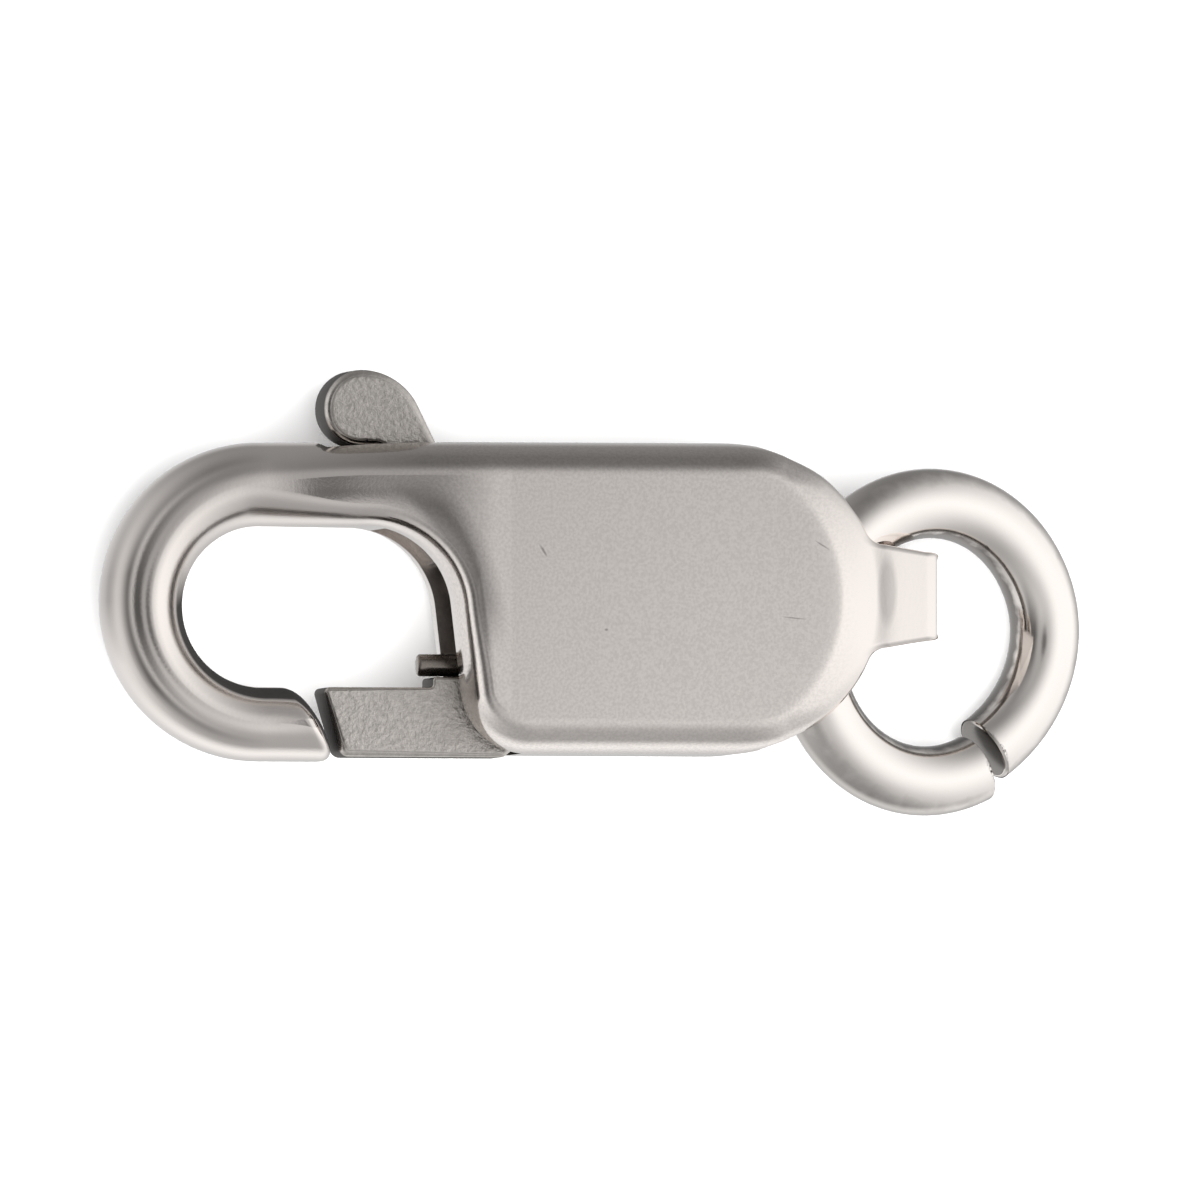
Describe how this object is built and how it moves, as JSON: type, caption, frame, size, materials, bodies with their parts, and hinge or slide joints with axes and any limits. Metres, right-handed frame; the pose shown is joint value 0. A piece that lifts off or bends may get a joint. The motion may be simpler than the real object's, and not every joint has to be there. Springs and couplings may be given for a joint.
{
  "type": "lobster clasp",
  "caption": "Lobster clasp: a hooked case with a sprung trigger gate, a thumb lug, and an open jump ring in its flattened tail loop.",
  "frame": {"origin": "on the outer face of the back cheek, on the trigger's pivot axis", "axes": "+X from the hook's nose to the tail, +Y towards the thumb lug, +Z out of the front cheek"},
  "size_m": [0.0145, 0.0064, 0.003],
  "materials": {
    "cast_silver": "tumble-polished sterling silver, satin on the flat cheeks",
    "stamped_silver": "matt, grainy stamped sterling silver with bright edges",
    "spring_steel": "drawn steel wire",
    "silver_wire": "drawn and polished sterling silver wire"
  },
  "bodies": {
    "clasp": {"body": "cast_silver", "pivot_pin": "spring_steel", "spring": "spring_steel"},
    "gate": {"trigger": "stamped_silver"},
    "ring": {"jump_ring": "silver_wire"}
  },
  "joints": [
    {"name": "gate_pivot", "type": "hinge", "parent": "clasp", "child": "gate", "pos_m": [0, 0, 0.0015], "axis": [0, 0, 1], "range_deg": [-21, 0], "stiffness_Nm_per_rad": 0.006, "springref_deg": 3.44, "deforming": ["spring"]},
    {"name": "ring_swing", "type": "hinge", "parent": "clasp", "child": "ring", "pos_m": [0.00342, 0.00094, 0.00197], "axis": [0, 1, 0], "range_deg": [-4, 28]}
  ]
}
